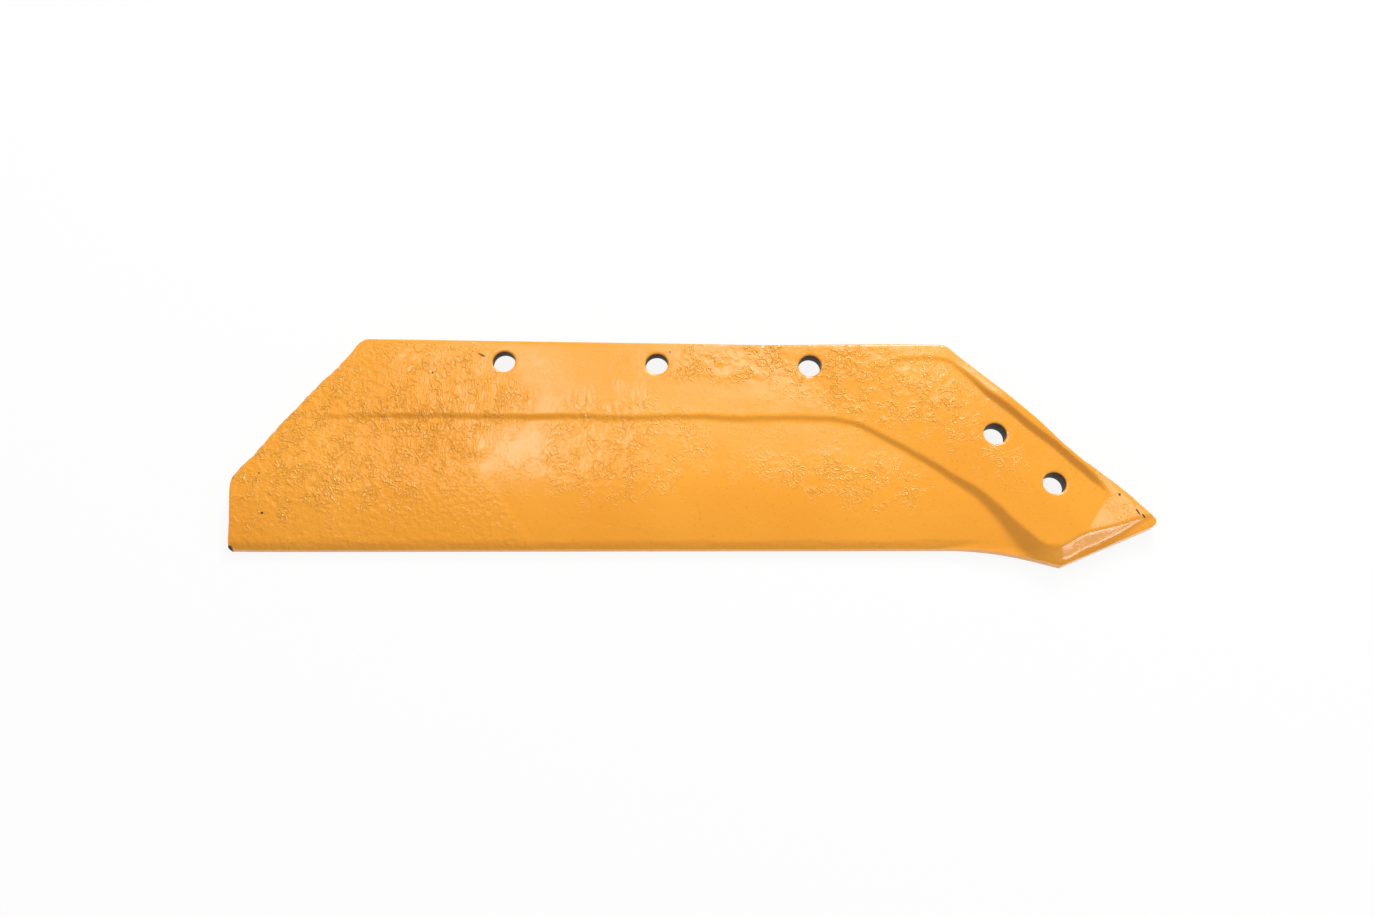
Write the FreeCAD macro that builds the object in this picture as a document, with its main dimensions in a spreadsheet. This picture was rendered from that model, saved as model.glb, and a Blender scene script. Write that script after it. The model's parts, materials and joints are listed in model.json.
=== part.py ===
import FreeCAD, Part
import Sketcher
import math
import os

# Left-hand plough share, forged in one piece, lying on its flat working face.
# +X runs along the bolt row towards the point, +Y from the cutting edge to the bolt edge and
# +Z out of the rear face. The origin is the middle hole of the bolt row, on the working face.

NODE = "share"

# name, value, what it is (millimetres and degrees)
DIMENSIONS = [
    ("bolt_spacing", 85.0, "bolt row: distance between holes"),
    ("bolt_hole", 12.5, "hole for an M12 plough bolt"),
    ("bolt_head", 24.0, "countersink diameter on the working face"),
    ("bolt_head_angle", 90.0, "countersink angle"),
    ("bolt_margin", 13.0, "bolt row to the bolt edge"),
    ("heel_top_reach", 165.0, "middle hole to the upper heel corner"),
    ("heel_top_round", 8.0, "upper heel corner radius"),
    ("heel_reach", 226.0, "middle hole to the lower heel corner"),
    ("heel_height", 40.0, "height of the heel end"),
    ("heel_lean", 4.0, "lean of the heel end"),
    ("heel_round", 16.0, "radius between heel end and heel slope"),
    ("heel_corner_round", 2.0, "radius of the lower heel corner"),
    ("edge_drop", 105.3, "bolt row to the cutting edge at the middle hole"),
    ("edge_lead", 1.0, "angle of the cutting edge to the bolt row"),
    ("bend_lead", 36.3, "lowest corner back to where the cutting edge turns down"),
    ("bend_run", 24.0, "half of the length over which the cutting edge turns down"),
    ("shin_top_reach", 160.3, "middle hole to the upper shin corner"),
    ("shin_top_round", 8.0, "upper shin corner radius"),
    ("shin_angle", 43.0, "angle of the shin edge to the bolt row"),
    ("shin_length", 150.0, "shin edge, upper corner to tip"),
    ("land_set", 3.0, "how far the tip is set out beyond the shin's line"),
    ("land_set_start", 100.0, "upper shin corner to where the tip is set out"),
    ("land_set_round", 150.0, "radius of the shin edge where the tip is set out"),
    ("tip_round", 3.0, "tip radius"),
    ("front_angle", 23.8, "angle of the front edge to the bolt row"),
    ("front_length", 60.0, "length of the front edge"),
    ("front_corner_round", 2.0, "radius of the lowest corner"),
    ("shin_bolt_start", 54.0, "upper shin corner to the first shin bolt"),
    ("shin_bolt_spacing", 41.0, "distance between the shin bolts"),
    ("shin_bolt_inset", 22.0, "shin edge to the shin bolts"),
    ("seat_band", 12.0, "thickness at the bolt row"),
    ("seat_point", 15.0, "thickness at the shin bolts"),
    ("ramp_end", 30.0, "shin edge to the top of the seat's ramp"),
    ("ramp_run", 38.0, "length of the seat's ramp"),
    ("ramp_round", 120.0, "radius at both ends of the ramp"),
    ("lip_width", 6.0, "width of the shin lip"),
    ("lip_height", 3.0, "lip above the seat where it is highest"),
    ("lip_rim", 0.7, "rim above the seat at the upper shin corner"),
    ("lip_start", 12.0, "upper shin corner to where the lip rises"),
    ("lip_rise", 30.0, "length of the lip's rise"),
    ("crest_round", 60.0, "radius where the lip starts to rise"),
    ("lip_draft", 18.0, "draft of the lip's inner wall"),
    ("lip_blend", 1.5, "radius at the foot of the lip"),
    ("rim_width", 9.0, "width of the rim under the bolt edge"),
    ("seat_round", 10.0, "seat corner radius inside the rim"),
    ("blade_thickness", 10.6, "blade thickness under the shoulder"),
    ("taper_width", 45.0, "width of the blade's convex taper"),
    ("edge_thickness", 5.6, "blade thickness at the edge, before its bevel"),
    ("edge_face", 4.0, "thickness left at the cutting edge by its bevel"),
    ("bevel_angle", 33.0, "angle of the cutting edge's bevel to the working face"),
    ("bevel_runout", 30.0, "length over which the bevel runs out before the bend"),
    ("bevel_rise", 2.4, "rise of the bevel's run-out"),
    ("shoulder_drop", 31.3, "bolt row to the shoulder at the middle hole"),
    ("shoulder_lead", 0.5, "angle of the shoulder to the bolt row"),
    ("shoulder_slope", 50.0, "slope of the shoulder's wall"),
    ("shoulder_blend", 2.5, "radius at the foot of the shoulder"),
    ("turn_reach", 108.0, "middle hole to where the shoulder turns down"),
    ("turn_round", 60.0, "radius of the shoulder's first turn"),
    ("pad_width", 53.0, "shin edge to the shoulder beside the shin bolts"),
    ("pad_start", 68.0, "upper shin corner to the shoulder's second turn"),
    ("pad_round", 40.0, "radius of the shoulder's second turn"),
    ("nose_inset", 7.6, "front edge to the crest of the point"),
    ("nose_round", 12.0, "radius of the pad's nose"),
    ("fade_start", 150.0, "middle hole to where the shoulder starts to fade"),
    ("fade_end", 200.0, "middle hole to where the shoulder has faded"),
    ("facet_length", 31.0, "length of the facet at the tip"),
    ("facet_drop", 7.0, "fall of the facet over its length"),
    ("facet_azimuth", 35.0, "direction in which the facet falls"),
    ("rear_round", 1.5, "radius of the outline's edges on the rear face"),
    ("working_round", 0.8, "radius of the outline's edges on the working face"),
]

# How far the cutting shapes reach past the forging.
CLEAR = 25
# How far they stand above it: little, because their drafted walls close in on each other.
ABOVE = 2
# Length of the cutting prisms, more than the forging's own length.
REACH = 900
# Surfaces whose normal leans less than this out of level are upright walls.
UPRIGHT = 0.01

doc = FreeCAD.newDocument("plough_share")


def make_sheet():
    """Spreadsheet with one named cell for each driving dimension."""
    cells = doc.addObject("Spreadsheet::Sheet", "dims")
    for row, (name, number, meaning) in enumerate(DIMENSIONS, start=1):
        cells.set("A%d" % row, meaning)
        cells.set("B%d" % row, str(number))
        cells.setAlias("B%d" % row, name)
    doc.recompute()
    return cells


sheet = make_sheet()

# Places that several features share, as expressions of the sheet's cells.
# The shin frame starts at the upper shin corner: along the shin edge, and out of it.
ALONG_X = "cos(dims.shin_angle)"
ALONG_Y = "-sin(dims.shin_angle)"
OUT_X = "sin(dims.shin_angle)"
OUT_Y = "cos(dims.shin_angle)"


def shin_place(along, out):
    """Place given along the shin edge and outwards from it, as two expressions."""
    x = "dims.shin_top_reach + (%s) * %s + (%s) * %s" % (along, ALONG_X, out, OUT_X)
    y = "dims.bolt_margin + (%s) * (%s) + (%s) * %s" % (along, ALONG_Y, out, OUT_Y)
    return x, y


TIP = shin_place("dims.shin_length", "dims.land_set")
LOW_X = "%s - dims.front_length * cos(dims.front_angle)" % TIP[0]
LOW_Y = "%s - dims.front_length * sin(dims.front_angle)" % TIP[1]
BEND_X = "%s - dims.bend_lead" % LOW_X
EDGE_FAR = "(dims.edge_drop + %d)" % CLEAR
HEEL_FAR = "(dims.heel_reach + %d)" % CLEAR
BLANK_HEIGHT = "dims.seat_point + dims.lip_height"


def number_of(expression):
    """Value of an expression of the sheet's cells."""
    return float(sheet.evalExpression(expression))


def on_edge(reach):
    """Height in Y of the cutting edge's line at a reach from the middle hole."""
    return "-dims.edge_drop + (%s) * tan(dims.edge_lead)" % reach


def on_shoulder(reach):
    """Height in Y of the shoulder's line at a reach from the middle hole."""
    return "-dims.shoulder_drop + (%s) * tan(dims.shoulder_lead)" % reach


def make_body(name):
    """Empty body with its own label."""
    body = doc.addObject("PartDesign::Body", name)
    body.Label = name
    return body


def make_sketch(body, name, role, base=("0", "0", "0"), turn=None):
    """Sketch on one of the body's own planes, moved, and turned about its upright axis."""
    sketch = body.newObject("Sketcher::SketchObject", name)
    plane = [item for item in body.Origin.OriginFeatures if item.Role == role][0]
    sketch.AttachmentSupport = [(plane, "")]
    sketch.MapMode = "FlatFace"
    if turn:
        upright = FreeCAD.Vector(0, 1, 0)
        rotation = FreeCAD.Rotation(upright, number_of(turn))
        sketch.AttachmentOffset = FreeCAD.Placement(FreeCAD.Vector(), rotation)
        sketch.setExpression("AttachmentOffset.Rotation.Angle", turn)
    for axis, distance in zip("xyz", base):
        if distance != "0":
            sketch.setExpression("AttachmentOffset.Base." + axis, distance)
    return sketch


def bind(sketch, constraint, expression):
    """Add a dimension to a sketch and tie it to the sheet."""
    index = sketch.addConstraint(constraint)
    name = "size_%d" % index
    sketch.renameConstraint(index, name)
    sketch.setExpression("Constraints." + name, expression)


def place_point(sketch, geometry, position, x, y):
    """Hold a point of a sketch at two coordinates from the sheet."""
    for kind, expression in (("DistanceX", x), ("DistanceY", y)):
        size = number_of(expression)
        bind(sketch, Sketcher.Constraint(kind, -1, 1, geometry, position, size), expression)


def draw_outline(sketch, corners):
    """Closed outline through corners (x, y, radius), sharp where the radius is None."""
    count = len(corners)
    points = [FreeCAD.Vector(number_of(x), number_of(y), 0) for x, y, radius in corners]
    entries = []
    exits = []
    arcs = []
    for index, (x, y, radius) in enumerate(corners):
        here = points[index]
        to_last = (points[index - 1] - here).normalize()
        to_next = (points[(index + 1) % count] - here).normalize()
        if radius is None:
            entries.append(here)
            exits.append(here)
            arcs.append(None)
            continue
        size = number_of(radius)
        half = to_last.getAngle(to_next) / 2
        entry = here + to_last * (size / math.tan(half))
        exit_point = here + to_next * (size / math.tan(half))
        centre = here + (to_last + to_next).normalize() * (size / math.sin(half))
        turns_left = (here - entry).cross(exit_point - here).z > 0
        first, second = (entry, exit_point) if turns_left else (exit_point, entry)
        angles = [math.atan2(end.y - centre.y, end.x - centre.x) for end in (first, second)]
        circle = Part.Circle(centre, FreeCAD.Vector(0, 0, 1), size)
        arc = sketch.addGeometry(Part.ArcOfCircle(circle, angles[0], angles[1]), False)
        entries.append(entry)
        exits.append(exit_point)
        arcs.append((arc, 1 if turns_left else 2, 2 if turns_left else 1))
    lines = []
    for index in range(count):
        segment = Part.LineSegment(exits[index], entries[(index + 1) % count])
        lines.append(sketch.addGeometry(segment, False))
    for index, (x, y, radius) in enumerate(corners):
        last_line = lines[index - 1]
        next_line = lines[index]
        if radius is None:
            sketch.addConstraint(Sketcher.Constraint("Coincident", last_line, 2, next_line, 1))
            place_point(sketch, next_line, 1, x, y)
            continue
        arc, arc_in, arc_out = arcs[index]
        sketch.addConstraint(Sketcher.Constraint("Tangent", last_line, 2, arc, arc_in))
        sketch.addConstraint(Sketcher.Constraint("Tangent", arc, arc_out, next_line, 1))
        bind(sketch, Sketcher.Constraint("Radius", arc, number_of(radius)), radius)
        corner = sketch.addGeometry(Part.Point(points[index]), True)
        sketch.addConstraint(Sketcher.Constraint("PointOnObject", corner, 1, last_line))
        sketch.addConstraint(Sketcher.Constraint("PointOnObject", corner, 1, next_line))
        place_point(sketch, corner, 1, x, y)


def pad(body, name, sketch, length):
    """Pad of a sketch, with its length tied to the sheet."""
    feature = body.newObject("PartDesign::Pad", name)
    feature.Profile = sketch
    feature.setExpression("Length", length)
    return feature


def cut_across(body, name, sketch):
    """Pocket that runs right through the body on both sides of its sketch."""
    before = body.Shape.Volume
    feature = body.newObject("PartDesign::Pocket", name)
    feature.Profile = sketch
    feature.Midplane = True
    feature.Length = REACH
    doc.recompute()
    if not body.Shape.Volume < before:
        raise RuntimeError("%s removes nothing" % name)
    return feature


def draft_walls(body, name, level, angle):
    """Draft of all upright walls of a prism about a level plane, wider towards the top."""
    datum = body.newObject("PartDesign::Plane", name + "_level")
    plane = [item for item in body.Origin.OriginFeatures if item.Role == "XY_Plane"][0]
    datum.AttachmentSupport = [(plane, "")]
    datum.MapMode = "FlatFace"
    datum.setExpression("AttachmentOffset.Base.z", level)
    doc.recompute()
    before = body.Shape.CenterOfMass.z
    base = body.Tip
    walls = []
    for index, face in enumerate(base.Shape.Faces, start=1):
        middle = face.CenterOfMass
        normal = face.normalAt(*face.Surface.parameter(middle))
        if abs(normal.z) < 0.5:
            walls.append("Face%d" % index)
    draft = body.newObject("PartDesign::Draft", name)
    draft.Base = (base, walls)
    draft.NeutralPlane = (datum, [""])
    draft.setExpression("Angle", angle)
    draft.Reversed = True
    doc.recompute()
    if not body.Shape.CenterOfMass.z > before:
        raise RuntimeError("%s leans the wrong way" % name)


def make_seat_relief():
    """Shape of the recess behind the shin lip, down to the seat beside the shin bolts."""
    body = make_body("seat_relief")
    sketch = make_sketch(body, "seat_zone", "XY_Plane", ("0", "0", "dims.seat_point"))
    front = shin_place("dims.shin_length + %d" % CLEAR, "-dims.lip_width")
    rim_y = "dims.bolt_margin - dims.rim_width"
    rim_along = "(dims.rim_width - dims.lip_width * %s) / %s" % (OUT_Y, OUT_X)
    corner_x = shin_place(rim_along, "-dims.lip_width")[0]
    draw_outline(sketch, [
        ("-" + HEEL_FAR, rim_y, None),
        ("-" + HEEL_FAR, "-" + EDGE_FAR, None),
        (front[0], "-" + EDGE_FAR, None),
        (front[0], front[1], None),
        (corner_x, rim_y, "dims.seat_round"),
    ])
    pad(body, "seat_prism", sketch, "dims.lip_height + %d" % ABOVE)
    draft_walls(body, "lip_wall", "dims.seat_point", "dims.lip_draft")
    return body


def make_shoulder_relief():
    """Shape that clears the blade below the shoulder, round the nose and along the front edge."""
    body = make_body("shoulder_relief")
    sketch = make_sketch(body, "blade_zone", "XY_Plane", ("0", "0", "dims.seat_band"))
    point_angle = "(dims.shin_angle + dims.front_angle)"
    nose_along = "dims.shin_length - (dims.nose_inset + (dims.pad_width + dims.land_set)"
    nose_along += " * cos(%s)) / sin(%s)" % (point_angle, point_angle)
    turn = ("dims.turn_reach", on_shoulder("dims.turn_reach"))
    second = shin_place("dims.pad_start", "-dims.pad_width")
    nose = shin_place(nose_along, "-dims.pad_width")
    past_x = "%s + %d * cos(dims.front_angle)" % (TIP[0], CLEAR)
    crest_x = past_x + " - dims.nose_inset * sin(dims.front_angle)"
    crest_y = "%s + %d * sin(dims.front_angle) + dims.nose_inset * cos(dims.front_angle)"
    crest_y = crest_y % (TIP[1], CLEAR)
    draw_outline(sketch, [
        ("-" + HEEL_FAR, on_shoulder("-" + HEEL_FAR), None),
        ("-" + HEEL_FAR, "-" + EDGE_FAR, None),
        (past_x, "-" + EDGE_FAR, None),
        (crest_x, crest_y, None),
        (nose[0], nose[1], "dims.nose_round"),
        (second[0], second[1], "dims.pad_round"),
        (turn[0], turn[1], "dims.turn_round"),
    ])
    prism = pad(body, "shoulder_prism", sketch, "%s + %d - dims.seat_band" % (BLANK_HEIGHT, ABOVE))
    prism.SideType = "Two sides"
    prism.setExpression("Length2", "dims.seat_band")
    draft_walls(body, "shoulder_wall", "dims.seat_band", "90 - dims.shoulder_slope")
    return body


def draw_blade_section(sketch):
    """Section of the blade below the rear face: flat, convex taper, flat at the edge."""
    far = "dims.edge_drop"
    low = "-%d" % CLEAR
    flat_z = "dims.blade_thickness"
    edge_z = "dims.edge_thickness"
    stations = [(far, flat_z), ("dims.taper_width", flat_z), ("0", edge_z)]
    stations += [(low, edge_z), (low, low), (far, low)]
    points = [FreeCAD.Vector(number_of(x), number_of(z), 0) for x, z in stations]
    fall = points[1].y - points[2].y
    radius = (points[1].x ** 2 + fall ** 2) / (2 * fall)
    centre = points[1] - FreeCAD.Vector(0, radius, 0)
    foot = math.atan2(points[2].y - centre.y, points[2].x - centre.x)
    circle = Part.Circle(centre, FreeCAD.Vector(0, 0, 1), radius)
    arc = sketch.addGeometry(Part.ArcOfCircle(circle, math.pi / 2, foot), False)
    ends = [(0, 1), (2, 3), (3, 4), (4, 5), (5, 0)]
    lines = [sketch.addGeometry(Part.LineSegment(points[a], points[b]), False) for a, b in ends]
    sketch.addConstraint(Sketcher.Constraint("Tangent", lines[0], 2, arc, 1))
    sketch.addConstraint(Sketcher.Constraint("Coincident", arc, 2, lines[1], 1))
    for last_line, next_line in zip(lines[1:], lines[2:] + lines[:1]):
        sketch.addConstraint(Sketcher.Constraint("Coincident", last_line, 2, next_line, 1))
    place_point(sketch, lines[0], 2, *stations[1])
    for line, (first, second) in zip(lines, ends):
        place_point(sketch, line, 1, *stations[first])


def edges_where(shape, rule):
    """Names of the edges between two faces for which the rule holds at the middle of the edge."""
    names = []
    for index, edge in enumerate(shape.Edges, start=1):
        faces = shape.ancestorsOfType(edge, Part.Face)
        if len(faces) != 2:
            continue
        middle = edge.valueAt((edge.FirstParameter + edge.LastParameter) / 2)
        normals = [face.normalAt(*face.Surface.parameter(middle)) for face in faces]
        if rule(middle, *sorted(normals, key=lambda normal: normal.z)):
            names.append("Edge%d" % index)
    return names


def round_edges(body, name, rule, radius):
    """Fillet of the edges that a rule picks."""
    names = edges_where(body.Shape, rule)
    if not names:
        raise RuntimeError("%s finds no edge" % name)
    base = body.Tip
    feature = body.newObject("PartDesign::Fillet", name)
    feature.Base = (base, names)
    feature.setExpression("Radius", radius)
    doc.recompute()
    return feature


def cut_with(body, name, tool):
    """Take another body's shape out of this one."""
    before = body.Shape.Volume
    feature = body.newObject("PartDesign::Boolean", name)
    feature.setObjects([tool])
    feature.Type = "Cut"
    doc.recompute()
    if not body.Shape.Volume < before:
        raise RuntimeError("%s removes nothing" % name)
    return feature


def finish_seat_relief():
    """Recess behind the lip, with the radius at the lip's foot."""
    body = make_seat_relief()

    def lip_foot(middle, low, high):
        return low.z < -0.99 and -0.5 < high.z < -0.1 and high.y > 0.2

    round_edges(body, "lip_foot", lip_foot, "dims.lip_blend")
    return body


def finish_shoulder_relief():
    """Blade relief with the blade's own surface under it and the radius at the wall's foot."""
    body = make_shoulder_relief()
    edge_line = ("-dims.edge_drop", "0", "0")
    section = make_sketch(body, "blade_section", "YZ_Plane", edge_line, "dims.edge_lead")
    draw_blade_section(section)
    cut_across(body, "blade_surface", section)

    def wall_foot(middle, low, high):
        return low.z < -0.9 and -0.9 < high.z < -0.3 and high.y > 0.2

    round_edges(body, "wall_foot", wall_foot, "dims.shoulder_blend")
    return body


def make_edge_bevel():
    """Shape that bevels the straight cutting edge and runs out before its bend."""
    body = make_body("edge_bevel")
    edge_line = ("-dims.edge_drop", "0", "0")
    section = make_sketch(body, "bevel_section", "YZ_Plane", edge_line, "dims.edge_lead")
    top = "dims.edge_face + %d * tan(dims.bevel_angle)" % CLEAR
    draw_outline(section, [
        ("-%d" % CLEAR, "dims.edge_face", None),
        ("0", "dims.edge_face", None),
        ("%d" % CLEAR, top, None),
        ("-%d" % CLEAR, top, None),
    ])
    prism = pad(body, "bevel_prism", section, str(REACH))
    prism.Midplane = True
    doc.recompute()
    runout = make_sketch(body, "bevel_end", "XZ_Plane", (BEND_X, "0", "0"))
    above = "%s + %d" % (BLANK_HEIGHT, CLEAR)
    draw_outline(runout, [
        ("-dims.bevel_runout", "dims.edge_face", None),
        ("-dims.bevel_runout", "-%d" % CLEAR, None),
        ("%d" % REACH, "-%d" % CLEAR, None),
        ("%d" % REACH, above, None),
        ("0", above, None),
        ("0", "dims.edge_face + dims.bevel_rise", None),
    ])
    cut_across(body, "bevel_runout", runout)
    return body


def add_blank(body):
    """Trimmed outline of the forging, as high as the lip."""
    sketch = make_sketch(body, "outline", "XY_Plane")
    top = "dims.bolt_margin"
    heel_x = "-dims.heel_reach"
    heel_y = on_edge("-dims.heel_reach")
    slope_x = "-dims.heel_reach - dims.heel_height * tan(dims.heel_lean)"
    set_out = shin_place("dims.land_set_start", "0")
    bend_y = on_edge(BEND_X)
    drop = "atan((%s - (%s)) / dims.bend_lead)" % (bend_y, LOW_Y)
    bend_round = "dims.bend_run / tan((%s + dims.edge_lead * 1 deg) / 2)" % drop
    draw_outline(sketch, [
        ("-dims.heel_top_reach", top, "dims.heel_top_round"),
        (slope_x, heel_y + " + dims.heel_height", "dims.heel_round"),
        (heel_x, heel_y, "dims.heel_corner_round"),
        (BEND_X, bend_y, bend_round),
        (LOW_X, LOW_Y, "dims.front_corner_round"),
        (TIP[0], TIP[1], "dims.tip_round"),
        (set_out[0], set_out[1], "dims.land_set_round"),
        ("dims.shin_top_reach", top, "dims.shin_top_round"),
    ])
    blank = pad(body, "blank", sketch, BLANK_HEIGHT)
    doc.recompute()
    return blank


def cut_lip_crest(body):
    """Slope of the lip's crest, from the rim at the upper corner up to its full height."""
    start = ("dims.shin_top_reach", "0", "-dims.bolt_margin")
    sketch = make_sketch(body, "lip_crest", "XZ_Plane", start, "-dims.shin_angle")
    rim_z = "dims.seat_point + dims.lip_rim"
    rise_end = "dims.lip_start + dims.lip_rise"
    above = "%s + %d" % (BLANK_HEIGHT, CLEAR)
    draw_outline(sketch, [
        ("-%d" % REACH, rim_z, None),
        ("dims.lip_start", rim_z, "dims.crest_round"),
        (rise_end, BLANK_HEIGHT, None),
        (rise_end, above, None),
        ("-%d" % REACH, above, None),
    ])
    cut_across(body, "lip_slope", sketch)


def cut_ramp(body):
    """Seat surface from the bolt row up its ramp, and the end of the rim."""
    start = ("dims.bolt_margin", "0", "dims.shin_top_reach")
    sketch = make_sketch(body, "ramp_section", "YZ_Plane", start, "-dims.shin_angle")
    rim_run = "dims.lip_rim * dims.ramp_run / (dims.seat_point - dims.seat_band)"
    foot = "-(dims.ramp_end + dims.ramp_run)"
    head = "-dims.ramp_end + " + rim_run
    above = "%s + %d" % (BLANK_HEIGHT, CLEAR)
    draw_outline(sketch, [
        ("-%d" % REACH, "dims.seat_band", None),
        (foot, "dims.seat_band", "dims.ramp_round"),
        (head, "dims.seat_point + dims.lip_rim", None),
        (head, above, None),
        ("-%d" % REACH, above, None),
    ])
    cut_across(body, "ramp", sketch)


def cut_fade(body):
    """Thinning of the bolt edge towards the heel, where the shoulder fades out."""
    sketch = make_sketch(body, "fade_section", "XZ_Plane")
    fall = "(dims.seat_band - dims.blade_thickness) / (dims.fade_end - dims.fade_start)"
    end_z = "dims.seat_band - (%s - dims.fade_start) * %s" % (HEEL_FAR, fall)
    above = "%s + %d" % (BLANK_HEIGHT, CLEAR)
    draw_outline(sketch, [
        ("-dims.fade_start", "dims.seat_band", None),
        ("-dims.fade_start", above, None),
        ("-" + HEEL_FAR, above, None),
        ("-" + HEEL_FAR, end_z, None),
    ])
    cut_across(body, "heel_fade", sketch)


def cut_facet(body):
    """Facet that falls from the seat to the tip."""
    tip_place = (TIP[0], "0", "-(%s)" % TIP[1])
    sketch = make_sketch(body, "facet_section", "XZ_Plane", tip_place, "-dims.facet_azimuth")
    fall = "dims.facet_drop * %d / dims.facet_length" % CLEAR
    draw_outline(sketch, [
        ("-(dims.facet_length + %d)" % CLEAR, "dims.seat_point + " + fall, None),
        ("%d" % CLEAR, "dims.seat_point - dims.facet_drop - " + fall, None),
        ("%d" % CLEAR, "dims.seat_point + %d" % CLEAR, None),
    ])
    cut_across(body, "facet", sketch)


def drill_holes(body):
    """Bolt holes, countersunk from the working face: three in the row and two beside the shin."""
    sketch = make_sketch(body, "bolt_places", "XY_Plane")
    last_shin_bolt = "dims.shin_bolt_start + dims.shin_bolt_spacing"
    places = [
        ("-dims.bolt_spacing", "0"),
        ("0", "0"),
        ("dims.bolt_spacing", "0"),
        shin_place("dims.shin_bolt_start", "-dims.shin_bolt_inset"),
        shin_place(last_shin_bolt, "-dims.shin_bolt_inset"),
    ]
    for x, y in places:
        centre = FreeCAD.Vector(number_of(x), number_of(y), 0)
        size = number_of("dims.bolt_hole") / 2
        circle = sketch.addGeometry(Part.Circle(centre, FreeCAD.Vector(0, 0, 1), size), False)
        bind(sketch, Sketcher.Constraint("Radius", circle, size), "dims.bolt_hole / 2")
        place_point(sketch, circle, 3, x, y)
    doc.recompute()
    before = body.Shape.Volume
    holes = body.newObject("PartDesign::Hole", "bolt_holes")
    holes.Profile = sketch
    doc.recompute()
    holes.Reversed = True
    holes.ThreadType = "None"
    holes.DepthType = "ThroughAll"
    holes.HoleCutType = "Countersink"
    holes.HoleCutCustomValues = True
    holes.setExpression("Diameter", "dims.bolt_hole")
    holes.setExpression("HoleCutDiameter", "dims.bolt_head")
    holes.setExpression("HoleCutCountersinkAngle", "dims.bolt_head_angle")
    doc.recompute()
    if not body.Shape.Volume < before:
        raise RuntimeError("the bolt holes remove nothing")


def round_working_face(body):
    """Radius round the blank's working face."""

    def working_edge(middle, low, high):
        return low.z < -0.99 and abs(high.z) < UPRIGHT

    round_edges(body, "working_edges", working_edge, "dims.working_round")


def round_seat(body):
    """Radius round the seat's rim, from the bolt edge to the heel and over the lip."""

    def bolt_edge(middle, low, high):
        on_rear = abs(low.z) < UPRIGHT and high.z > 0.9
        return on_rear and middle.y > number_of("dims.bolt_margin") - UPRIGHT

    round_edges(body, "seat_edges", bolt_edge, "dims.rear_round")


def make_share():
    """The share: blank, reliefs of the rear face, holes and edges."""
    body = make_body(NODE)
    add_blank(body)
    round_working_face(body)
    cut_lip_crest(body)
    cut_with(body, "seat_cut", finish_seat_relief())
    cut_ramp(body)
    round_seat(body)
    cut_with(body, "shoulder_cut", finish_shoulder_relief())
    cut_fade(body)
    cut_facet(body)
    cut_with(body, "bevel_cut", make_edge_bevel())
    drill_holes(body)
    return body


def check_and_export(body):
    """Stop on any failed object, then write the share as a STEP file."""
    for item in doc.Objects:
        if "Invalid" in item.State or "Error" in item.State:
            raise RuntimeError("%s failed: %s" % (item.Label, item.State))
    shape = body.Shape
    if shape.isNull() or not shape.isValid() or len(shape.Solids) != 1:
        raise RuntimeError("%s is not one valid solid" % body.Label)
    os.makedirs("parts", exist_ok=True)
    shape.exportStep(os.path.join("parts", body.Label + ".step"))


check_and_export(make_share())
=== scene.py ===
import json
import math

import bmesh
import bpy
import numpy as np
from mathutils import Matrix, Vector
from mathutils.bvhtree import BVHTree
from mathutils.geometry import delaunay_2d_cdt


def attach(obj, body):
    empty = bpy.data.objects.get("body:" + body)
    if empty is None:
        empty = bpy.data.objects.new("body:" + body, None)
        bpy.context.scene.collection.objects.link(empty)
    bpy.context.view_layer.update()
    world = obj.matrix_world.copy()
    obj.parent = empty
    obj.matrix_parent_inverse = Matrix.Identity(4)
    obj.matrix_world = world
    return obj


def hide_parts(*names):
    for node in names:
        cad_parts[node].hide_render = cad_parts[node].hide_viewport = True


# The forged share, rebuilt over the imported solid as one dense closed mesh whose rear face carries
# the forging's relief. Lengths are in millimetres until the mesh is made.

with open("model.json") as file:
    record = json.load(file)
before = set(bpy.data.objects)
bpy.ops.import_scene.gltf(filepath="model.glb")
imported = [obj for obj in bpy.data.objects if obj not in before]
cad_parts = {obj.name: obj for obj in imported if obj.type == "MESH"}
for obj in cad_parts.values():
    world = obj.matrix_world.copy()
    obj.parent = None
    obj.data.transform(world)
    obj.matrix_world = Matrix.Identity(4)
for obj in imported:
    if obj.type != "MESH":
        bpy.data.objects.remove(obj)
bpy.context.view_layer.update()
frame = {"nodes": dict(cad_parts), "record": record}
cad_share = frame["nodes"]["share"]
record = frame["record"]

MM = 0.001
GRID = 0.92            # spacing of the rear face's points
OUTLINE_STEP = 1.0     # spacing of the points along the outline
BACK_GRID = 7.0        # spacing of the points on the working face
SECTION_Z = 3.0        # height at which the outline and the countersinks are read
RIM_INSETS = (0.25, 0.55, 0.95, 1.5, 2.2)
HOLE_STEPS = 44
# Where the trimmed edge lies inside the solid's: place, reach and depth.
WORN = (
    ((-176, -2), 16, 1.1),
    ((-218, -57), 15, 1.5),
    ((-227, -92), 16, 0.7),
    ((222, -46), 17, 1.9),
    ((236, -60), 14, 1.6),
)
PASSES = 2             # smoothings of the heights read from the solid
BACK_ROUND = 0.8       # rounding of the outline on the working face
DEEPEST_BITE = 1.4     # most that the uneven edge lies inside the trimmed outline
TAU = 2 * math.pi


# ---------------------------------------------------------------- repeatable noise

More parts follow.
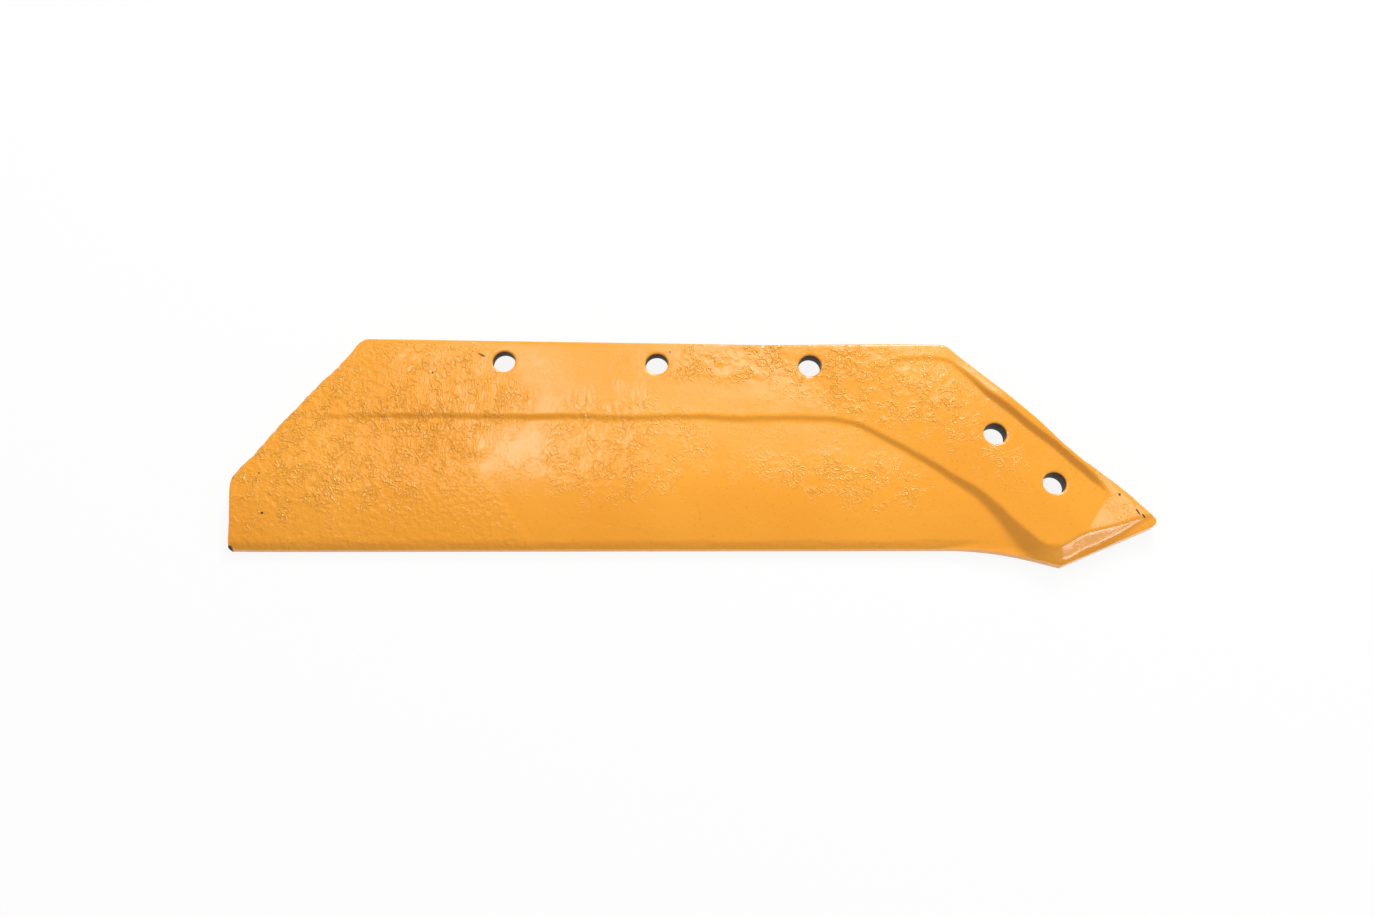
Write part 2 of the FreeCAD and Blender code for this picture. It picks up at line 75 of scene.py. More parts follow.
def lattice(i, j, seed):
    """Repeatable number from 0 to 1 for each lattice point."""
    mix = (i * 374761393 + j * 668265263 + seed * 144269503) & 0xFFFFFFFF
    mix = ((mix ^ (mix >> 13)) * 1274126177) & 0xFFFFFFFF
    return (mix ^ (mix >> 16)) / 0xFFFFFFFF


def noise(x, y, size, seed):
    """Smooth noise from about -1 to 1 with features of the given size."""
    u = x / size
    v = y / size
    i = np.floor(u).astype(np.int64)
    j = np.floor(v).astype(np.int64)
    a = u - i
    b = v - j
    fade_a = a ** 3 * (a * (a * 6 - 15) + 10)
    fade_b = b ** 3 * (b * (b * 6 - 15) + 10)
    total = np.zeros_like(u)
    for di in (0, 1):
        for dj in (0, 1):
            angle = lattice(i + di, j + dj, seed) * TAU
            slope = np.cos(angle) * (a - di) + np.sin(angle) * (b - dj)
            weight = (fade_a if di else 1 - fade_a) * (fade_b if dj else 1 - fade_b)
            total += slope * weight
    return total * 1.5


def layers(x, y, size, seed, count=3):
    """Sum of noises, each half as large and half as strong as the last."""
    total = np.zeros_like(x)
    for level in range(count):
        total += noise(x, y, size / 2 ** level, seed + level) / 2 ** level
    return total


def step(low, high, value):
    """0 below low, 1 above high, smooth between."""
    t = np.clip((value - low) / (high - low), 0, 1)
    return t * t * (3 - 2 * t)


def patch(x, y, centre, radii, angle=0.0):
    """1 at the centre of an ellipse, 0 outside it, with a soft, uneven border."""
    c, s = math.cos(math.radians(angle)), math.sin(math.radians(angle))
    dx, dy = x - centre[0], y - centre[1]
    u = (dx * c + dy * s) / radii[0]
    v = (dy * c - dx * s) / radii[1]
    reach = np.sqrt(u * u + v * v) + 0.22 * noise(x, y, 14, 61)
    return 1 - step(0.55, 1.1, reach)


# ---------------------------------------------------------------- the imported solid

def solid_mesh(node):
    """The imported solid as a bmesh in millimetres."""
    bm = bmesh.new()
    bm.from_mesh(node.data)
    bmesh.ops.scale(bm, vec=(1 / MM,) * 3, verts=bm.verts)
    bmesh.ops.remove_doubles(bm, verts=bm.verts, dist=1e-4)
    return bm


def section_loops(bm, height):
    """Closed loops, as arrays of x and y, where a level plane cuts the solid."""
    cut = bm.copy()
    whole = cut.verts[:] + cut.edges[:] + cut.faces[:]
    result = bmesh.ops.bisect_plane(cut, geom=whole, plane_co=(0, 0, height), plane_no=(0, 0, 1))
    edges = [e for e in result["geom_cut"] if isinstance(e, bmesh.types.BMEdge)]
    links = {}
    for edge in edges:
        for vert, other in (edge.verts, reversed(edge.verts)):
            links.setdefault(vert, []).append(other)
    loops = []
    unseen = set(links)
    while unseen:
        start = min(unseen, key=lambda vert: (vert.co.x, vert.co.y))
        loop = [start]
        unseen.discard(start)
        while True:
            onward = [v for v in links[loop[-1]] if v in unseen]
            if not onward:
                break
            loop.append(onward[0])
            unseen.discard(onward[0])
        loops.append(np.array([vert.co.xy for vert in loop]))
    cut.free()
    return sorted(loops, key=len_of, reverse=True)


def len_of(loop):
    """Length of a closed loop."""
    return np.linalg.norm(loop - np.roll(loop, 1, axis=0), axis=1).sum()


def resample(loop, spacing):
    """The same closed loop, anticlockwise, with evenly spaced points."""
    area = (loop[:, 0] * np.roll(loop[:, 1], -1) - np.roll(loop[:, 0], -1) * loop[:, 1]).sum()
    ring = loop if area > 0 else loop[::-1]
    closed = np.vstack([ring, ring[:1]])
    runs = np.concatenate([[0], np.cumsum(np.linalg.norm(np.diff(closed, axis=0), axis=1))])
    count = int(round(runs[-1] / spacing))
    at = np.arange(count) * runs[-1] / count
    return np.column_stack([np.interp(at, runs, closed[:, 0]), np.interp(at, runs, closed[:, 1])])


def outward_normals(loop):
    """Outward normals of an anticlockwise loop."""
    along = np.roll(loop, -1, axis=0) - np.roll(loop, 1, axis=0)
    along /= np.linalg.norm(along, axis=1)[:, None]
    return np.column_stack([along[:, 1], -along[:, 0]])


# ---------------------------------------------------------------- the forging's relief

def wander(x, y):
    """How far the forged steps stray from their drawn lines, in x and y."""
    east = 0.9 * noise(x, y, 34, 11) + 0.45 * noise(x, y, 11, 12)
    north = 0.9 * noise(x, y, 34, 21) + 0.45 * noise(x, y, 11, 22)
    return east, north


def worms(x, y, size, seed):
    """Thin winding ridges and grooves, like those that flaked scale leaves."""
    wx = x + 2.2 * noise(x, y, 9, seed + 1)
    wy = y + 2.2 * noise(x, y, 9, seed + 2)
    line = noise(wx, wy, size, seed)
    ridge = np.exp(-(line / 0.17) ** 2)
    sign = noise(x, y, 16, seed + 3)
    return ridge * np.where(sign > -0.1, 1.0, -0.9)


def zones(x, y):
    """How strongly each part of the rear face is marked: worms, upright dents, ripples."""
    left = patch(x, y, (-170, -50), (84, 50), -4)
    heel = patch(x, y, (-205, -62), (34, 56))
    dents = patch(x, y, (-112, -30), (50, 34))
    middle = patch(x, y, (-20, -52), (52, 32), 10)
    band = patch(x, y, (44, 2), (50, 15))
    corner = patch(x, y, (122, -12), (62, 28), -14)
    lower = patch(x, y, (104, -66), (52, 17), -8)
    heel_top = patch(x, y, (-130, 0), (46, 15))
    pad = patch(x, y, (176, -42), (40, 16), -43)
    calm = patch(x, y, (-76, -47), (24, 14))
    worm = left + 0.4 * heel + 0.8 * dents + 0.55 * heel_top + 0.7 * middle
    worm += 1.0 * band + 0.85 * corner + 0.6 * lower + 0.3 * pad + 0.10
    worm = np.clip(worm, 0, 1.15) * (1 - 0.85 * calm)
    ripples = patch(x, y, (-24, -32), (26, 26), 60)
    return worm, dents * (1 - 0.7 * calm), ripples


def relief(x, y):
    """Height of the forging's broader marks over the rear face."""
    worm, dents, ripples = zones(x, y)
    height = 0.20 * noise(x, y, 75, 31) + 0.10 * noise(x, y, 30, 32) + 0.035 * noise(x, y, 12, 33)
    height += worm * (0.07 * worms(x, y, 6.5, 41) + 0.045 * worms(x * 1.3, y, 4.4, 45))
    height += worm * 0.07 * layers(x, y, 6, 48)
    height += dents * 0.10 * noise(x * 2.2, y * 0.5, 8, 51)
    bent = x + 3.0 * np.sin((y + 30) / 11) + 1.5 * noise(x, y, 14, 71)
    height += ripples * 0.14 * np.sin(bent * TAU / 4.6) * step(-0.5, 0.3, noise(x, y, 12, 72))
    return height


# ---------------------------------------------------------------- the mesh

def inside(loop, x, y):
    """Which points lie inside a closed loop."""
    hit = np.zeros(len(x), bool)
    ends = np.roll(loop, -1, axis=0)
    for (x1, y1), (x2, y2) in zip(loop, ends):
        if y1 == y2:
            continue
        rows = (y1 > y) != (y2 > y)
        cross = x1 + (y - y1) * (x2 - x1) / (y2 - y1)
        hit ^= rows & (x < cross)
    return hit


def even_points(loop, spacing, margin):
    """Points of a triangular lattice that lie inside a loop, clear of it by a margin."""
    low = loop.min(axis=0)
    high = loop.max(axis=0)
    rise = spacing * math.sqrt(3) / 2
    rows = np.arange(low[1], high[1], rise)
    columns = np.arange(low[0], high[0], spacing)
    x, y = np.meshgrid(columns, rows)
    x = x + (np.arange(len(rows)) % 2)[:, None] * spacing / 2
    x, y = x.ravel(), y.ravel()
    inner = loop - outward_normals(loop) * margin
    keep = inside(inner, x, y)
    return np.column_stack([x[keep], y[keep]])


def clear_of(points, centres, radius):
    """Points farther from every centre than a radius."""
    for centre in centres:
        points = points[np.linalg.norm(points - centre, axis=1) > radius]
    return points


def circle(centre, radius, count):
    """Points round a circle, anticlockwise."""
    turn = np.arange(count) * TAU / count
    return centre + radius * np.column_stack([np.cos(turn), np.sin(turn)])


def triangulate(points, rings):
    """Delaunay triangles of the points, kept inside the first ring and outside the others."""
    edges = []
    start = 0
    for ring in rings:
        count = len(ring)
        edges += [(start + k, start + (k + 1) % count) for k in range(count)]
        start += count
    vectors = [Vector(p) for p in points]
    verts, _, faces, origin, _, _ = delaunay_2d_cdt(vectors, edges, [], 0, 1e-5, True)
    if len(verts) != len(points):
        raise RuntimeError("the triangulation merged or added points")
    back = np.array([ids[0] for ids in origin])
    triangles = back[np.array(faces)]
    middle = points[triangles].mean(axis=1)
    keep = inside(rings[0], middle[:, 0], middle[:, 1])
    for ring in rings[1:]:
        centre = ring.mean(axis=0)
        radius = np.linalg.norm(ring - centre, axis=1).max()
        keep &= np.linalg.norm(middle - centre, axis=1) > radius * 0.998
    return triangles[keep]


def surface_height(tree, x, y, from_above=True):
    """Height of the solid under, or over, each point."""
    start_z = 60.0 if from_above else -60.0
    way = Vector((0, 0, -1 if from_above else 1))
    heights = np.zeros(len(x))
    for k, (px, py) in enumerate(zip(x, y)):
        place = tree.ray_cast(Vector((px, py, start_z)), way)[0]
        heights[k] = np.nan if place is None else place.z
    return heights


def neighbour_mean(values, pairs, count):
    """Mean of each point's neighbours."""
    total = np.zeros(count)
    number = np.zeros(count)
    for a, b in ((0, 1), (1, 0)):
        np.add.at(total, pairs[:, a], values[pairs[:, b]])
        np.add.at(number, pairs[:, a], 1)
    return total / np.maximum(number, 1)


def build_share():
    """The share as one closed mesh."""
    bm = solid_mesh(cad_share)
    tree = BVHTree.FromBMesh(bm)
    loops = section_loops(bm, SECTION_Z)
    low = np.array([v.co[:] for v in bm.verts]).min(axis=0)
    high = np.array([v.co[:] for v in bm.verts]).max(axis=0)
    bm.free()

    outline = resample(loops[0], OUTLINE_STEP)
    centres = [loop.mean(axis=0) for loop in loops[1:]]
    hole = next(m["dims"]["r_mm"] for m in record["mounts"] if m["name"] == "middle_bolt")
    head = np.linalg.norm(loops[1] - centres[0], axis=1).mean() + SECTION_Z

    # The trimmed edge is uneven, most of all on the heel's slope, and never outside the solid.
    normal = outward_normals(outline)
    x, y = outline[:, 0], outline[:, 1]
    slope = step(0.3, 0.6, -normal[:, 0]) * step(0.2, 0.5, normal[:, 1])
    bolt_edge = step(0.9, 0.99, normal[:, 1])
    uneven = 0.20 + 0.45 * slope + 0.25 * bolt_edge
    bite = uneven * (0.6 + 0.5 * noise(x, y, 42, 201) + 0.35 * noise(x, y, 9, 202))
    bite += (0.12 + 0.25 * slope) * noise(x, y, 3.4, 203)
    turn = np.linalg.norm(np.roll(normal, -1, axis=0) - np.roll(normal, 1, axis=0), axis=1)
    bite *= 1 - step(0.3, 0.7, turn / OUTLINE_STEP)
    bite = np.clip(bite, 0.0, DEEPEST_BITE)
    worn = np.zeros(len(outline))
    for place, reach, deep in WORN:
        away = np.linalg.norm(outline - np.array(place), axis=1)
        worn += deep * np.exp(-(away / reach) ** 2)
    trimmed = outline - normal * worn[:, None]
    outline = trimmed - normal * bite[:, None]

    rings = [outline] + [circle(c, hole + 0.45, HOLE_STEPS) for c in centres]
    rims = [outline - normal * inset for inset in RIM_INSETS]
    rims += [circle(c, hole + 1.2, HOLE_STEPS) for c in centres]
    field = even_points(outline, GRID, RIM_INSETS[-1] + 0.5)
    field = clear_of(field, centres, hole + 1.7)
    plan = np.vstack(rings + rims + [field])
    triangles = triangulate(plan, rings)

    # Heights come from the solid, read where the forged lines have strayed from.
    x, y = plan[:, 0], plan[:, 1]
    east, north = wander(x, y)
    rim_count = sum(len(ring) for ring in rings)
    depth = np.full(len(plan), 9.0)
    count = len(outline)
    for number, inset in enumerate((0.0,) + RIM_INSETS):
        start = 0 if number == 0 else rim_count + (number - 1) * count
        depth[start:start + count] = inset
    free = np.full(len(plan), 1.0)
    for c in centres:
        free *= step(hole + 1.5, hole + 9, np.linalg.norm(plan - c, axis=1))
    far = step(0.0, 6.0, depth)
    read_x = x + east * free * far
    read_y = y + north * free * far
    read_x[:count] -= normal[:, 0] * 0.03
    read_y[:count] -= normal[:, 1] * 0.03
    z = surface_height(tree, read_x, read_y)
    missing = np.isnan(z) | (z < 0.5)
    if missing.any():
        z[missing] = surface_height(tree, x[missing], y[missing])
        missing = np.isnan(z) | (z < 0.5)
        known = np.flatnonzero(~missing)
        for k in np.flatnonzero(missing):
            z[k] = z[known[np.argmin(((plan[known] - plan[k]) ** 2).sum(axis=1))]]

    pairs = np.vstack([triangles[:, [0, 1]], triangles[:, [1, 2]], triangles[:, [2, 0]]])
    pairs = np.unique(np.sort(pairs, axis=1), axis=0)
    keep_rim = np.where(np.arange(len(plan)) < count, 0.0, 1.0)
    for _ in range(PASSES):
        z += keep_rim * 0.5 * (neighbour_mean(z, pairs, len(plan)) - z)

    marks = relief(x, y)
    near_hole = free * 0.75 + 0.25
    z = z + marks * near_hole * step(-0.5, 2.5, depth)
    for k in range(len(centres)):
        start = count + k * HOLE_STEPS
        z[start:start + HOLE_STEPS] -= 0.12
    z = np.minimum(z, high[2])

    verts = [np.column_stack([plan, z])]
    faces = [triangles]
    plan_count = len(plan)
    total = plan_count

    # Outer wall, from the rear face's rim down to the working face's rounded edge.
    levels = (0.75, 0.5, 0.28)
    top_z = z[:count]
    previous = np.arange(count)
    wall_rings = []
    for number, share_of in enumerate(levels):
        rough = 0.10 * noise(outline[:, 0], outline[:, 1] + 40 * number, 2.6, 211 + number)
        ring = trimmed - normal * (bite * share_of + np.abs(rough))[:, None]
        wall_rings.append(np.column_stack([ring, BACK_ROUND + (top_z - BACK_ROUND) * share_of]))
    for turn in (0, 30, 60, 90):
        angle = math.radians(turn)
        inset = BACK_ROUND * (1 - math.cos(angle))
        ring_z = BACK_ROUND * (1 - math.sin(angle))
        ring = trimmed - normal * inset
        wall_rings.append(np.column_stack([ring, np.full(count, ring_z)]))
    for ring in wall_rings:
        now = total + np.arange(count)
        verts.append(ring)
        faces.append(strip(previous, now))
        total += count
        previous = now
    back_outer = previous

    # Bolt holes: rounded rim, punched wall, countersink.
    back_holes = []
    for k, centre in enumerate(centres):
        previous = count + k * HOLE_STEPS + np.arange(HOLE_STEPS)
        rim_z = z[previous]
        base_z = head - hole
        hole_rings = [(hole + 0.12, rim_z - 0.25), (hole, rim_z - 0.6)]
        hole_rings += [(hole, base_z + (rim_z - 0.6 - base_z) * part) for part in (0.66, 0.33)]
        hole_rings += [(hole, np.full(HOLE_STEPS, base_z)), (head, np.zeros(HOLE_STEPS))]
        for radius, ring_z in hole_rings:
            now = total + np.arange(HOLE_STEPS)
            verts.append(np.column_stack([circle(centre, radius, HOLE_STEPS), ring_z]))
            faces.append(strip(now, previous))
            total += HOLE_STEPS
            previous = now
        back_holes.append(previous)

    # Working face.
    back_loop = wall_rings[-1][:, :2]
    back_rings = [back_loop] + [circle(c, head, HOLE_STEPS) for c in centres]
    back_field = even_points(back_loop, BACK_GRID, 3.0)
    back_field = clear_of(back_field, centres, head + 2.5)
    back_plan = np.vstack(back_rings + [back_field])
    back_triangles = triangulate(back_plan, back_rings)
    shared = np.concatenate([back_outer] + back_holes)
    index = np.concatenate([shared, total + np.arange(len(back_field))])
    verts.append(np.column_stack([back_field, np.zeros(len(back_field))]))
    faces.append(index[back_triangles][:, ::-1])

    place = np.vstack(verts)
    place = np.clip(place, low, high) * MM
    obj = to_object("share_forging", place, faces, hole, centres)
    paint_zones(obj, place / MM, plan_count)
    return obj


def strip(upper, lower):
    """Pairs of triangles between two closed rings."""
    upper_next = np.roll(upper, -1)
    lower_next = np.roll(lower, -1)
    first = np.column_stack([upper, lower, lower_next])
    second = np.column_stack([upper, lower_next, upper_next])
    return np.vstack([first, second])


def paint_zones(obj, place, plan_count):
    """Point values that tell the paint's bump where the rear face is marked."""
    x, y = place[:, 0], place[:, 1]
    face = (np.arange(len(place)) < plan_count) * 1.0
    worm, dents, ripples = zones(x, y)
    slope = step(150, 158, -x - 0.77 * (y - 13)) * face
    for name, values in (("worm", worm * face), ("dents", dents * face), ("flash", slope)):
        data = obj.data.attributes.new(name, "FLOAT", "POINT").data
        data.foreach_set("value", values.astype(np.float32))


def to_object(name, place, faces, hole, centres):
    """A smooth-shaded object, with its second material on the walls of the bolt holes."""
    triangles = np.vstack(faces)
    mesh = bpy.data.meshes.new(name)
    mesh.from_pydata(place.tolist(), [], triangles.tolist())
    mesh.update()
    middle = place[triangles].mean(axis=1) / MM
    in_hole = np.zeros(len(triangles), bool)
    for centre in centres:
        in_hole |= np.linalg.norm(middle[:, :2] - centre, axis=1) < hole + 0.02
    mesh.polygons.foreach_set("material_index", in_hole.astype(np.int32))
    mesh.shade_smooth()
    mesh.set_sharp_from_angle(angle=math.radians(50))
    obj = bpy.data.objects.new(name, mesh)
    bpy.context.scene.collection.objects.link(obj)
    return obj


# ---------------------------------------------------------------- materials

# Where the paint is chipped to dark steel: place, radius, stretch, turn in degrees.
CHIPS = (
    ((-225.6, -108.6), 2.2, 1.0, 0),
    ((-208.9, -89.6), 0.7, 1.3, 0),
    ((-213.0, -67.5), 0.6, 1.0, 0),
    ((-124.1, -7.5), 0.6, 1.0, 0),
    ((-97.4, 3.6), 0.5, 5.0, -25),
    ((7.2, 7.2), 0.5, 1.4, 20),
    ((249.0, -73.6), 0.7, 1.2, -40),
    ((259.0, -82.2), 0.5, 4.6, -52),
    ((262.3, -84.2), 0.5, 3.0, -50),
)


class Nodes:
    """Short way to add and link the nodes of a material."""

    def __init__(self, material):
        material.use_nodes = True
        self.tree = material.node_tree
        self.shader = self.tree.nodes["Principled BSDF"]
        self.place = self.add("ShaderNodeTexCoord").outputs["Object"]

    def add(self, kind, **values):
        node = self.tree.nodes.new(kind)
        for key, value in values.items():
            if hasattr(node, key):
                setattr(node, key, value)
            else:
                node.inputs[key.replace("_", " ")].default_value = value
        return node

    def link(self, source, target):
        self.tree.links.new(source, target)

    def math(self, operation, first, second):
        """Result of a sum, product or the like of two values."""
        node = self.add("ShaderNodeMath", operation=operation)
        for socket, value in zip(node.inputs, (first, second)):
            if hasattr(value, "is_output"):
                self.link(value, socket)
            else:
                socket.default_value = value
        return node.outputs[0]

    def attribute(self, name):
        """Point value stored with the mesh."""
        node = self.add("ShaderNodeAttribute", attribute_name=name)
        return node.outputs["Fac"]

    def ridge(self, source, width):
        """Thin rounded ridge where a noise passes its middle value."""
        node = self.add("ShaderNodeMapRange", interpolation_type="SMOOTHSTEP")
        gap = self.math("ABSOLUTE", self.math("SUBTRACT", source, 0.5), 0.0)
        self.link(gap, node.inputs["Value"])
        node.inputs["From Min"].default_value = 0.0
        node.inputs["From Max"].default_value = width
        node.inputs["To Min"].default_value = 1.0
        node.inputs["To Max"].default_value = 0.0
        return node.outputs["Result"]

    def noise(self, scale, detail=2.0, roughness=0.5, stretch=None, shift=None, offset=0.0,
              color=False):
        """Noise over the piece's own coordinates, stretched, shifted or offset."""
        node = self.add("ShaderNodeTexNoise")
        node.inputs["Scale"].default_value = scale
        node.inputs["Detail"].default_value = detail
        node.inputs["Roughness"].default_value = roughness
        source = self.place
        if shift:
            drift = self.add("ShaderNodeVectorMath", operation="MULTIPLY_ADD")
            self.link(shift[0], drift.inputs[0])
            drift.inputs[1].default_value = (shift[1],) * 3
            self.link(source, drift.inputs[2])
            source = drift.outputs["Vector"]
        mapping = self.add("ShaderNodeMapping")
        mapping.inputs["Scale"].default_value = stretch or (1, 1, 1)
        mapping.inputs["Location"].default_value = (offset, offset, offset)
        self.link(source, mapping.inputs["Vector"])
        self.link(mapping.outputs["Vector"], node.inputs["Vector"])
        return node.outputs["Color" if color else "Fac"]

    def ramp(self, source, *stops, halve=False):
        """Colours between stops; halve doubles the range that the stops cover."""
        node = self.add("ShaderNodeValToRGB")
        if halve:
            source = self.math("MULTIPLY", source, 0.5)
        elements = node.color_ramp.elements
        while len(elements) < len(stops):
            elements.new(0.5)
        for element, (position, color) in zip(elements, stops):
            element.position = position
            element.color = color if len(color) == 4 else (*color, 1)
        self.link(source, node.inputs["Fac"])
        return node.outputs["Color"]

    def mix(self, factor, first, second, blend="MIX"):
        node = self.add("ShaderNodeMix", data_type="RGBA", blend_type=blend)
        sockets = (node.inputs[0], node.inputs[6], node.inputs[7])
        for socket, value in zip(sockets, (factor, first, second)):
            if hasattr(value, "is_output"):
                self.link(value, socket)
            else:
                socket.default_value = value
        return node.outputs[2]

    def bump(self, source, distance, strength, normal=None):
        node = self.add("ShaderNodeBump")
        node.inputs["Distance"].default_value = distance
        node.inputs["Strength"].default_value = strength
        self.link(source, node.inputs["Height"])
        if normal:
            self.link(normal, node.inputs["Normal"])
        return node.outputs["Normal"]


def grey(value):
    """A grey stop of a colour ramp."""
    return (value, value, value, 1)


def spot(n, place, radius, stretch=1.0, turn=0.0):
    """1 within a small ragged spot of the rear face, 0 elsewhere."""
    shift = n.add("ShaderNodeMapping", vector_type="TEXTURE")
    shift.inputs["Location"].default_value = (place[0] * MM, place[1] * MM, 0)
    shift.inputs["Rotation"].default_value = (0, 0, math.radians(turn))
    shift.inputs["Scale"].default_value = (radius * stretch * MM, radius * MM, 1)
    n.link(n.place, shift.inputs["Vector"])
    flat = n.add("ShaderNodeVectorMath", operation="MULTIPLY")
    flat.inputs[1].default_value = (1, 1, 0)
    n.link(shift.outputs["Vector"], flat.inputs[0])
    length = n.add("ShaderNodeVectorMath", operation="LENGTH")
    n.link(flat.outputs["Vector"], length.inputs[0])
    ragged = n.math("ADD", length.outputs["Value"], n.math("MULTIPLY", n.noise(1300, 2), 0.9))
    return n.ramp(ragged, (1.25 / 2, grey(1)), (1.45 / 2, grey(0)), halve=True)


def paint():
    """Glossy orange enamel, sprayed over the forging's scale."""
    material = bpy.data.materials.new("orange_enamel")
    n = Nodes(material)
    shader = n.shader

    cloud = n.ramp(n.noise(11, 3), (0.35, (0.880, 0.335, 0.018)), (0.65, (0.915, 0.372, 0.026)))
    speck = n.ramp(n.noise(700, 3), (0.60, grey(0)), (0.75, grey(1)))
    color = n.mix(speck, cloud, (0.80, 0.27, 0.012, 1))
    chips = None
    for place, radius, stretch, turn in CHIPS:
        mask = spot(n, place, radius, stretch, turn)
        chips = mask if chips is None else n.math("MAXIMUM", chips, mask)
    color = n.mix(chips, color, (0.035, 0.028, 0.024, 1))
    n.link(color, shader.inputs["Base Color"])

    rough = n.ramp(n.noise(70, 3), (0.3, grey(0.15)), (0.7, grey(0.22)))
    n.link(n.mix(chips, rough, grey(0.6)), shader.inputs["Roughness"])
    shader.inputs["Specular IOR Level"].default_value = 0.5

    # Flaked scale left fine winding ridges under the paint.
    worm = n.attribute("worm")
    dents = n.attribute("dents")
    flash = n.attribute("flash")
    drift = n.noise(190, 2, color=True)
    ridges = n.ridge(n.noise(230, 1.5, shift=(drift, 0.0040)), 0.055)
    finer = n.ridge(n.noise(420, 1.5, shift=(drift, 0.0030), offset=3.1), 0.06)
    broken = n.ramp(n.noise(120, 2, offset=1.7), (0.44, grey(0)), (0.56, grey(1)))
    marks = n.math("MULTIPLY", n.math("ADD", ridges, n.math("MULTIPLY", finer, 0.6)), broken)
    upright = n.ridge(n.noise(150, 2, stretch=(2.6, 0.55, 1), shift=(drift, 0.0020)), 0.07)
    height = n.math("MULTIPLY", marks, worm)
    height = n.math("ADD", height, n.math("MULTIPLY", n.math("MULTIPLY", upright, dents), 0.6))
    lumps = n.noise(260, 3, offset=5.3)
    height = n.math("ADD", height, n.math("MULTIPLY", n.math("MULTIPLY", lumps, worm), 0.7))
    height = n.math("ADD", height, n.math("MULTIPLY", n.math("MULTIPLY", n.noise(330, 3), flash), 2.2))
    forged = n.bump(height, 0.00027, 1.0)
    orange_peel = n.bump(n.noise(620, 2), 0.00005, 0.5, forged)
    n.link(orange_peel, shader.inputs["Normal"])
    return material


def painted_hole_shade():
    """Painted shade on the walls of the punched bolt holes: a near-black colour standing in for their
    shadow, with a mist of orange paint.
    """
    material = bpy.data.materials.new("painted_shade_holes")
    n = Nodes(material)
    # Near-black here is painted shade of the holes' insides; the dark orange-brown end is the paint's
    # mist.
    shade_and_mist = n.ramp(n.noise(420, 4), (0.48, (0.012, 0.008, 0.005)), (0.75, (0.14, 0.052, 0.010)))
    n.link(shade_and_mist, n.shader.inputs["Base Color"])
    n.shader.inputs["Roughness"].default_value = 0.6
    n.shader.inputs["Metallic"].default_value = 0.1
    n.link(n.bump(n.noise(700, 3), 0.0001, 0.6), n.shader.inputs["Normal"])
    return material


# ---------------------------------------------------------------- the studio

def add_floor():
    """Pale floor that the camera and reflections see as white, with a soft shadow."""
    mesh = bpy.data.meshes.new("studio_floor")
    size = 6.0
    corners = [(-size, -size, 0), (size, -size, 0), (size, size, 0), (-size, size, 0)]
    mesh.from_pydata(corners, [], [(0, 1, 2, 3)])
    floor = bpy.data.objects.new("studio_floor", mesh)
    bpy.context.scene.collection.objects.link(floor)
    material = bpy.data.materials.new("studio_white")
    material.use_nodes = True
    tree = material.node_tree
    nodes = tree.nodes
    shader = nodes["Principled BSDF"]
    shader.inputs["Base Color"].default_value = (0.85, 0.85, 0.85, 1)
    shader.inputs["Roughness"].default_value = 0.9
    shader.inputs["Specular IOR Level"].default_value = 0.0
    glow = nodes.new("ShaderNodeEmission")
    glow.inputs["Strength"].default_value = 1.0
    path = nodes.new("ShaderNodeLightPath")
    seen = nodes.new("ShaderNodeMath")
    seen.operation = "ADD"
    seen.use_clamp = True
    part = nodes.new("ShaderNodeMath")
    part.operation = "MULTIPLY"
    part.inputs[1].default_value = 0.90
    mixed = nodes.new("ShaderNodeMixShader")
    tree.links.new(path.outputs["Is Camera Ray"], seen.inputs[0])
    tree.links.new(path.outputs["Is Glossy Ray"], seen.inputs[1])
    tree.links.new(seen.outputs[0], part.inputs[0])
    tree.links.new(part.outputs[0], mixed.inputs["Fac"])
    tree.links.new(shader.outputs["BSDF"], mixed.inputs[1])
    tree.links.new(glow.outputs["Emission"], mixed.inputs[2])
    tree.links.new(mixed.outputs["Shader"], nodes["Material Output"].inputs["Surface"])
    mesh.materials.append(material)


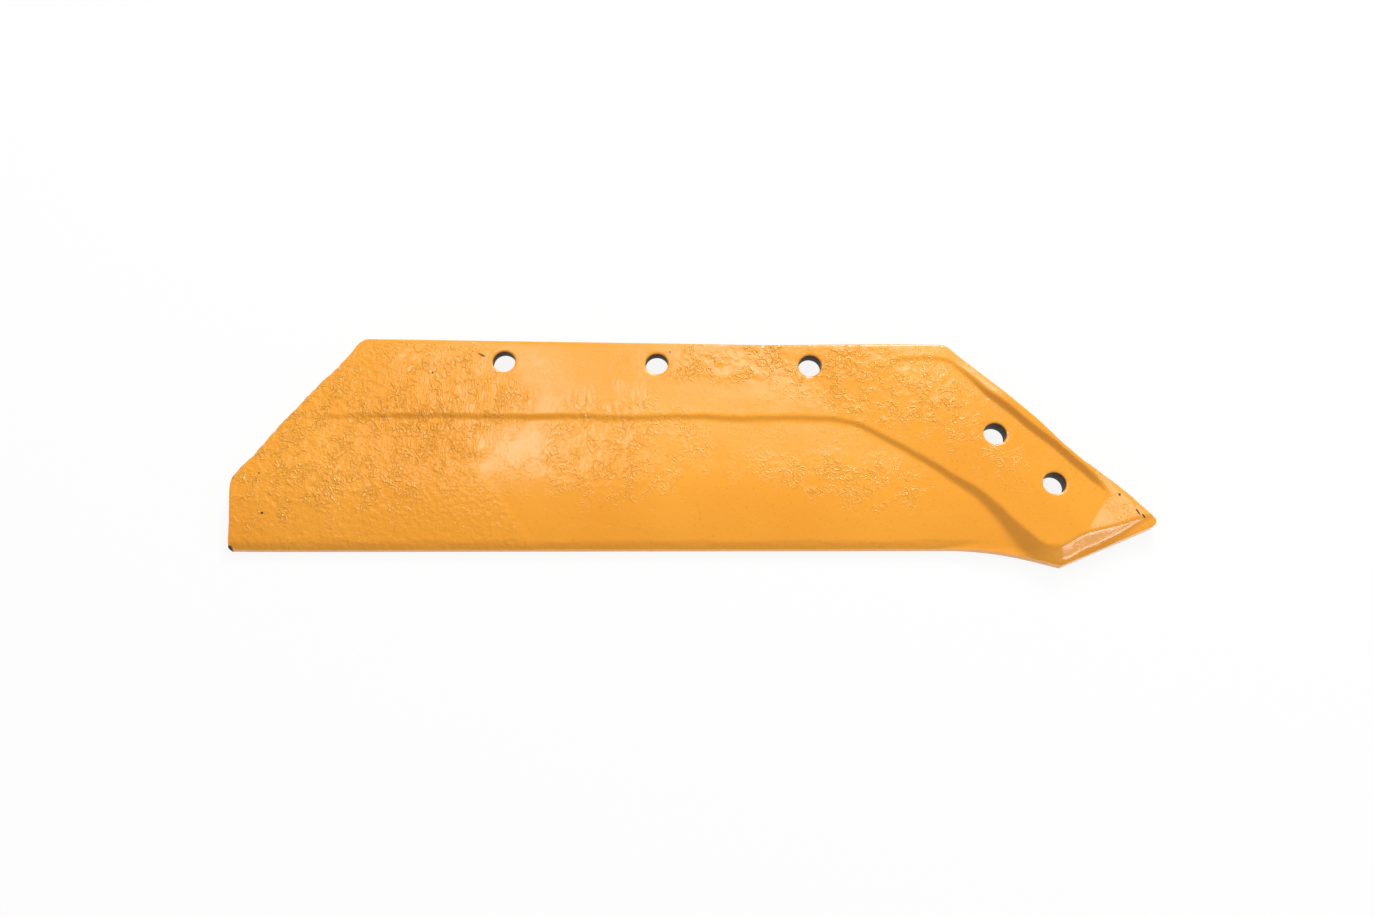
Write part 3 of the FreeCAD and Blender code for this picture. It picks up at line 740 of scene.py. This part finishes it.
def add_world():
    """White room: plain level for light, full white where the camera looks."""
    world = bpy.data.worlds.new("studio")
    bpy.context.scene.world = world
    world.use_nodes = True
    nodes = world.node_tree.nodes
    links = world.node_tree.links
    room = nodes["Background"]
    room.inputs["Color"].default_value = (1, 1, 1, 1)
    room.inputs["Strength"].default_value = 0.50
    white = nodes.new("ShaderNodeBackground")
    white.inputs["Strength"].default_value = 1.0
    path = nodes.new("ShaderNodeLightPath")
    mixed = nodes.new("ShaderNodeMixShader")
    links.new(path.outputs["Is Camera Ray"], mixed.inputs["Fac"])
    links.new(room.outputs["Background"], mixed.inputs[1])
    links.new(white.outputs["Background"], mixed.inputs[2])
    links.new(mixed.outputs["Shader"], nodes["World Output"].inputs["Surface"])


def add_softbox(name, place, target, width, height, power):
    """Rectangular soft light that faces a target."""
    light = bpy.data.lights.new(name, "AREA")
    light.shape = "RECTANGLE"
    light.size = width
    light.size_y = height
    light.energy = power
    obj = bpy.data.objects.new(name, light)
    bpy.context.scene.collection.objects.link(obj)
    obj.location = place
    obj.rotation_euler = (Vector(target) - Vector(place)).to_track_quat("-Z", "Y").to_euler()


def add_camera():
    """Camera above the cutting edge, looking down at the rear face."""
    data = bpy.data.cameras.new("camera")
    data.lens = 34.0
    data.sensor_width = 36.0
    data.clip_end = 50.0
    obj = bpy.data.objects.new("camera", data)
    bpy.context.scene.collection.objects.link(obj)
    aim = Vector((0.0176, -0.05125, 0.0))
    distance = 0.714737
    lean = math.radians(20.5)
    roll = math.radians(0.8713)
    forward = Vector((0, math.sin(lean), -math.cos(lean)))
    level = Vector((1, 0, 0))
    upright = Vector((0, math.cos(lean), math.sin(lean)))
    right = level * math.cos(roll) + upright * math.sin(roll)
    up = upright * math.cos(roll) - level * math.sin(roll)
    axes = Matrix((right, up, -forward)).transposed().to_4x4()
    obj.matrix_world = Matrix.Translation(aim - forward * distance) @ axes
    bpy.context.scene.camera = obj


# ---------------------------------------------------------------- assembly

share = build_share()
share.data.materials.append(paint())
# The second material paints the shade inside the bolt holes.
share.data.materials.append(painted_hole_shade())
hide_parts("share")
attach(share, "root")

add_floor()
add_world()
add_softbox("key", (0.35, 1.25, 0.95), (0.02, -0.04, 0.0), 0.6, 0.4, 20)
add_softbox("back_softbox", (0.20, 0.70, 1.30), (0.08, 0.0, 0.0), 0.44, 0.28, 2.7)
add_softbox("left_softbox", (-0.30, 0.46, 1.30), (-0.08, -0.05, 0.0), 0.26, 0.26, 1.45)
add_softbox("front_softbox", (0.95, -0.80, 0.14), (0.22, -0.10, 0.0), 0.35, 0.25, 2.6)
add_softbox("tip_softbox", (1.27, 0.06, 1.30), (0.25, -0.08, 0.0), 0.35, 0.35, 1.7)
add_camera()

bpy.context.scene.view_settings.view_transform = "Standard"
